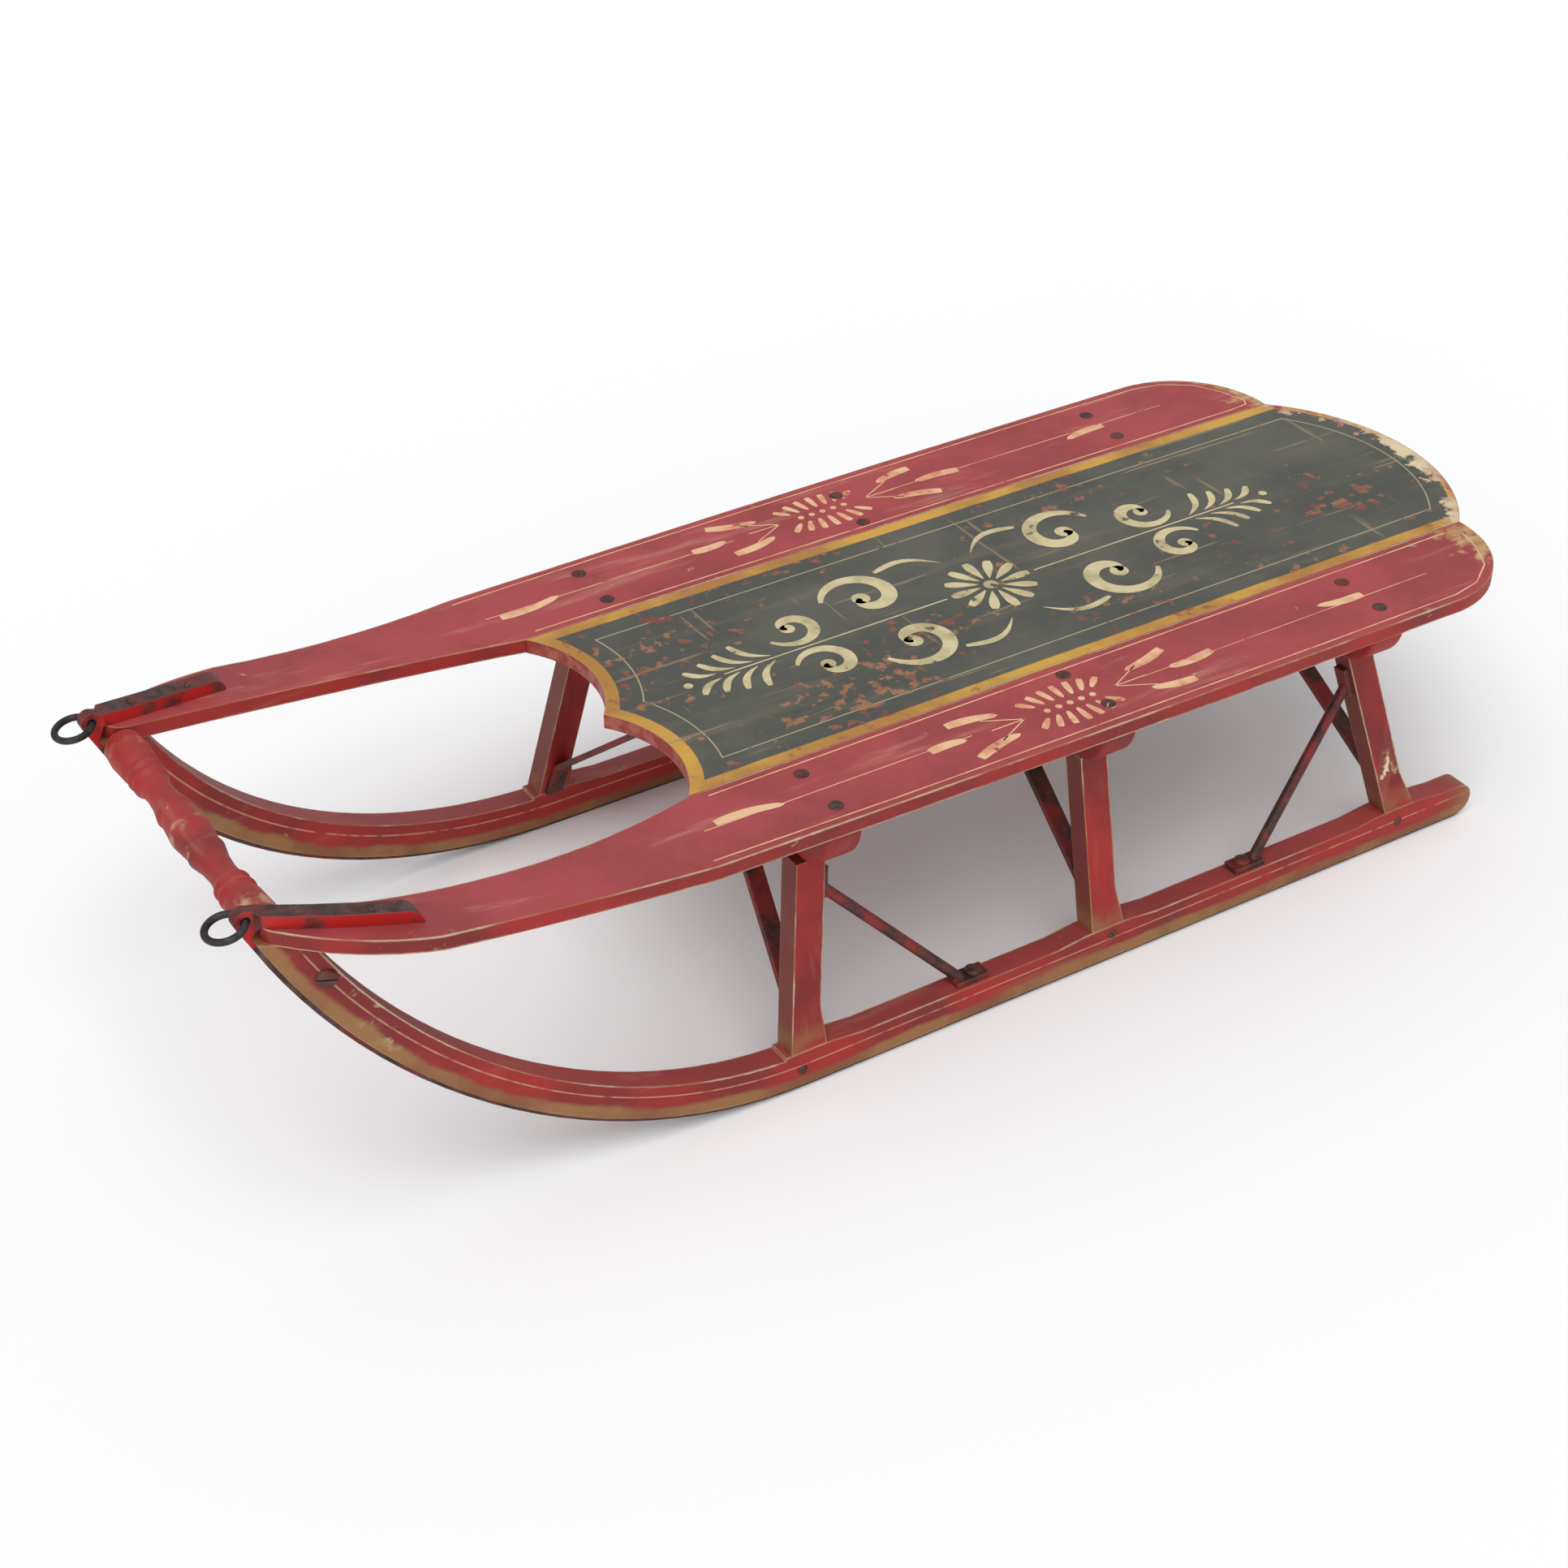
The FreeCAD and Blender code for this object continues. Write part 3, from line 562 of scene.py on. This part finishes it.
# %% Heads: slotted screw and round bolt
def slotted_head(r, h, gap):
    """Two half domes either side of a slot; r radius, h height, gap half the slot's width."""
    v, f = [], []
    for s in (1, -1):
        a0 = math.asin(gap / r)
        rings = [(r, -0.0008), (r, h * 0.35), (r * 0.82, h)]
        base = len(v)
        n = 15
        for q, z in rings:
            for i in range(n):
                a = a0 + (math.pi - 2 * a0) * i / (n - 1)
                v.append((q * math.cos(a), s * max(gap, q * math.sin(a)), z))
        for k in range(2):
            for i in range(n - 1):
                a = base + k * n + i
                f.append((a, a + 1, a + 1 + n, a + n) if s > 0 else (a + n, a + 1 + n, a + 1, a))
            a, c = base + k * n, base + k * n + n - 1
            f.append((c, a, a + n, c + n) if s > 0 else (c + n, a + n, a, c))
        cap = [base + 2 * n + i for i in range(n)]
        f.append(tuple(cap if s > 0 else cap[::-1]))
    base = len(v)                            # floor of the slot
    v += [(r * 0.93 * math.cos(i * math.pi / 12), r * 0.93 * math.sin(i * math.pi / 12), h * 0.15)
          for i in range(24)]
    f.append(tuple(range(base, base + 24)))
    return v, f


def round_head(r, h, sides):
    """A low dome from four rings and a flat top."""
    v, f = [], []
    rings = [(r, -0.0008), (r, h * 0.45), (r * 0.86, h * 0.8), (r * 0.5, h)]
    for q, z in rings:
        turns = [2 * math.pi * i / sides for i in range(sides)]
        v += [(q * math.cos(a), q * math.sin(a), z) for a in turns]
    for k in range(3):
        for i in range(sides):
            j = (i + 1) % sides
            f.append((k * sides + i, k * sides + j, (k + 1) * sides + j, (k + 1) * sides + i))
    f.append(tuple(3 * sides + i for i in range(sides)))
    return v, f


def set_tree():
    """Points carry a `turn`; each gets one head, turned so, in one real mesh."""
    t = bpy.data.node_groups.new("set_heads", "GeometryNodeTree")
    t.interface.new_socket("Geometry", in_out="INPUT", socket_type="NodeSocketGeometry")
    t.interface.new_socket("Head", in_out="INPUT", socket_type="NodeSocketObject")
    t.interface.new_socket("Material", in_out="INPUT", socket_type="NodeSocketMaterial")
    t.interface.new_socket("Geometry", in_out="OUTPUT", socket_type="NodeSocketGeometry")
    n = {k: t.nodes.new(k) for k in (
        "NodeGroupInput", "NodeGroupOutput", "GeometryNodeObjectInfo",
        "GeometryNodeInstanceOnPoints", "GeometryNodeInputNamedAttribute",
        "GeometryNodeRealizeInstances", "GeometryNodeSetMaterial")}
    turn = n["GeometryNodeInputNamedAttribute"]
    turn.data_type = "FLOAT_VECTOR"
    turn.inputs["Name"].default_value = "turn"
    inst = n["GeometryNodeInstanceOnPoints"]
    link = t.links.new
    link(n["NodeGroupInput"].outputs["Geometry"], inst.inputs["Points"])
    link(n["NodeGroupInput"].outputs["Head"], n["GeometryNodeObjectInfo"].inputs["Object"])
    link(n["GeometryNodeObjectInfo"].outputs["Geometry"], inst.inputs["Instance"])
    link(turn.outputs["Attribute"], inst.inputs["Rotation"])
    link(inst.outputs["Instances"], n["GeometryNodeRealizeInstances"].inputs["Geometry"])
    link(n["GeometryNodeRealizeInstances"].outputs[0],
         n["GeometryNodeSetMaterial"].inputs["Geometry"])
    link(n["NodeGroupInput"].outputs["Material"], n["GeometryNodeSetMaterial"].inputs["Material"])
    link(n["GeometryNodeSetMaterial"].outputs[0], n["NodeGroupOutput"].inputs["Geometry"])
    return t


TREE = set_tree()
bpy.context.view_layer.update()
print("tree", TREE.name, "with", len(TREE.nodes), "nodes")

# %% [markdown]
# ## Finding the places
# A ray from outside meets the piece, and its normal tells which way the head looks.


# %% Ray and head setter
SPIN_STEP, SPIN_START = 2.4, 3           # radians: no two slots in a row point the same way


def hit(node, origin, direction):
    """Where a ray meets a CAD node: place and outward direction."""
    ok, place, normal, _ = NODES[node].ray_cast(Vector(origin), Vector(direction).normalized())
    if not ok:
        raise RuntimeError("no surface on %s from %s" % (node, origin))
    return place, normal


def set_heads(name, shape, spots):
    """One mesh of heads from a list of (place, outward normal)."""
    head = mesh_object(name + "_head", *shape, screw_iron)
    me = bpy.data.meshes.new(name + "_points")
    me.from_pydata([tuple(p) for p, _ in spots], [], [])
    turn = me.attributes.new("turn", "FLOAT_VECTOR", "POINT")
    for i, (_, nrm) in enumerate(spots):
        q = nrm.to_track_quat("Z", "Y").to_matrix().to_4x4()
        e = (q @ Matrix.Rotation(i * SPIN_STEP + SPIN_START, 4, "Z")).to_euler("XYZ")
        turn.data[i].vector = (e.x, e.y, e.z)
    host = bpy.data.objects.new(name + "_host", me)
    bpy.context.scene.collection.objects.link(host)
    mod = host.modifiers.new("heads", "NODES")
    mod.node_group = TREE
    ids = {s.name: s.identifier for s in TREE.interface.items_tree if s.in_out == "INPUT"}
    mod[ids["Head"]] = head
    mod[ids["Material"]] = screw_iron
    bpy.context.view_layer.update()
    got = bpy.data.meshes.new_from_object(host.evaluated_get(bpy.context.evaluated_depsgraph_get()))
    bpy.data.objects.remove(host)
    bpy.data.objects.remove(head)
    got.name = name
    ob = bpy.data.objects.new(name, got)
    bpy.context.scene.collection.objects.link(ob)
    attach(ob, "sled")
    print(name, len(spots), "heads,", len(got.polygons), "faces")
    return ob


# %% [markdown]
# ## Setting the screws
# Six screws hold each side board, two to a beam. The runners and stays have their own.

# %% Deck screws, runner screws and stay bolts
DECK_SCREWS = [(-0.067, 0.1154), (-0.067, 0.153), (-0.260, 0.111), (-0.264, 0.151),
               (-0.478, 0.118), (-0.478, 0.154)]
spots = []
for s, word in ((1, "left"), (-1, "right")):
    for dx, y in DECK_SCREWS:
        spots.append(hit("side_board_" + word, (FRONT + dx, s * y, 0.5), (0, 0, -1)))
set_heads("deck_screws", slotted_head(0.0048, 0.0007, 0.0005), spots)

spots, small, stays = [], [], []
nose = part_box("runner_shoe_left")[1][0]
for s, word in ((1, "left"), (-1, "right")):
    spots.append(hit("runner_" + word, (FRONT + 0.2415, s * 0.3, 0.178), (0, -s, 0)))
    for dx, z in ((-0.036, 0.015), (-0.268, 0.022), (-0.509, 0.0176)):
        small.append(hit("runner_" + word, (FRONT + dx, s * 0.3, z), (0, -s, 0)))
    y = (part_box("pull_ring_" + word)[0][1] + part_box("pull_ring_" + word)[1][1]) / 2
    for back in (0.035, 0.072):              # the iron's tongue turns out with its runner
        run = nose - back - BEND_X
        turn_out = RUNNER_Y - TOE_R + math.sqrt(TOE_R**2 - run**2)
        small.append(hit("runner_shoe_" + word, (nose - back, s * turn_out, 0.4), (0, 0, -1)))
    for end in ("front", "rear"):
        lo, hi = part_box("rod_%s_%s" % (end, word))
        x = lo[0] + 0.009 if end == "front" else hi[0] - 0.009
        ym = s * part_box("runner_left")[1][1] - s * 0.008
        stays.append(hit("rod_%s_%s" % (end, word), (x, ym, 0.2), (0, 0, -1)))
set_heads("runner_screws", slotted_head(0.0062, 0.0022, 0.0006), spots)
set_heads("small_screws", slotted_head(0.0032, 0.0009, 0.0004), small)
set_heads("stay_bolts", round_head(0.0052, 0.0034, 18), stays)

# %% [markdown]
# ## Floor, light and camera
# A pale floor, one broad soft light from above, a weak fill and an even sky.

# %% Stage
lo, hi = start_box
mid = Vector(((lo[0] + hi[0]) / 2, (lo[1] + hi[1]) / 2, 0))
FLOOR_REACH = 8
corners = [(x * FLOOR_REACH, y * FLOOR_REACH, 0) for x, y in ((-1, -1), (1, -1), (1, 1), (-1, 1))]
floor = mesh_object("floor", corners, [(0, 1, 2, 3)], bpy.data.materials.new("floor_pale"))
floor.data.materials[0].use_nodes = True
chalk = floor.data.materials[0].node_tree.nodes["Principled BSDF"].inputs
chalk["Base Color"].default_value = (0.93, 0.93, 0.93, 1)
chalk["Roughness"].default_value = 1.0
chalk["Specular IOR Level"].default_value = 0.0

world = bpy.data.worlds.new("studio")
bpy.context.scene.world = world
world.use_nodes = True
bg = world.node_tree.nodes["Background"]
bg.inputs["Color"].default_value = (0.97, 0.98, 1, 1)
bg.inputs["Strength"].default_value = 0.66


def sun(name, direction, strength, angle):
    """A far, wide light: even over the whole floor, with a soft-edged shadow."""
    d = bpy.data.lights.new(name, "SUN")
    d.energy, d.angle = strength, math.radians(angle)
    o = bpy.data.objects.new(name, d)
    bpy.context.scene.collection.objects.link(o)
    o.rotation_euler = Vector(direction).to_track_quat("Z", "Y").to_euler()


sun("key", (0.25, 0.35, 1.0), 1.35, 50)
sun("fill", (0.9, 0.9, 0.5), 0.35, 40)

# %% [markdown]
# ## Camera
# It looks at the middle of the sled from the left front, a little above.

# %% Camera
AZIMUTH, ELEVATION = math.radians(147.859), math.radians(34.945)
DISTANCE, AIM = 1.8204, Vector((0.0417, 0.0, 0.0907))
cam = bpy.data.cameras.new("camera")
cam.lens, cam.sensor_width = 65.40, 36.0
cam_ob = bpy.data.objects.new("camera", cam)
bpy.context.scene.collection.objects.link(cam_ob)
back = Vector((math.sin(AZIMUTH) * math.cos(ELEVATION),
               -math.cos(AZIMUTH) * math.cos(ELEVATION), math.sin(ELEVATION)))
cam_ob.location = mid + AIM + back * DISTANCE
cam_ob.rotation_euler = back.to_track_quat("Z", "Y").to_euler()
bpy.context.scene.camera = cam_ob
bpy.context.scene.view_settings.view_transform = "Standard"
print("camera at", [round(v, 3) for v in cam_ob.location])
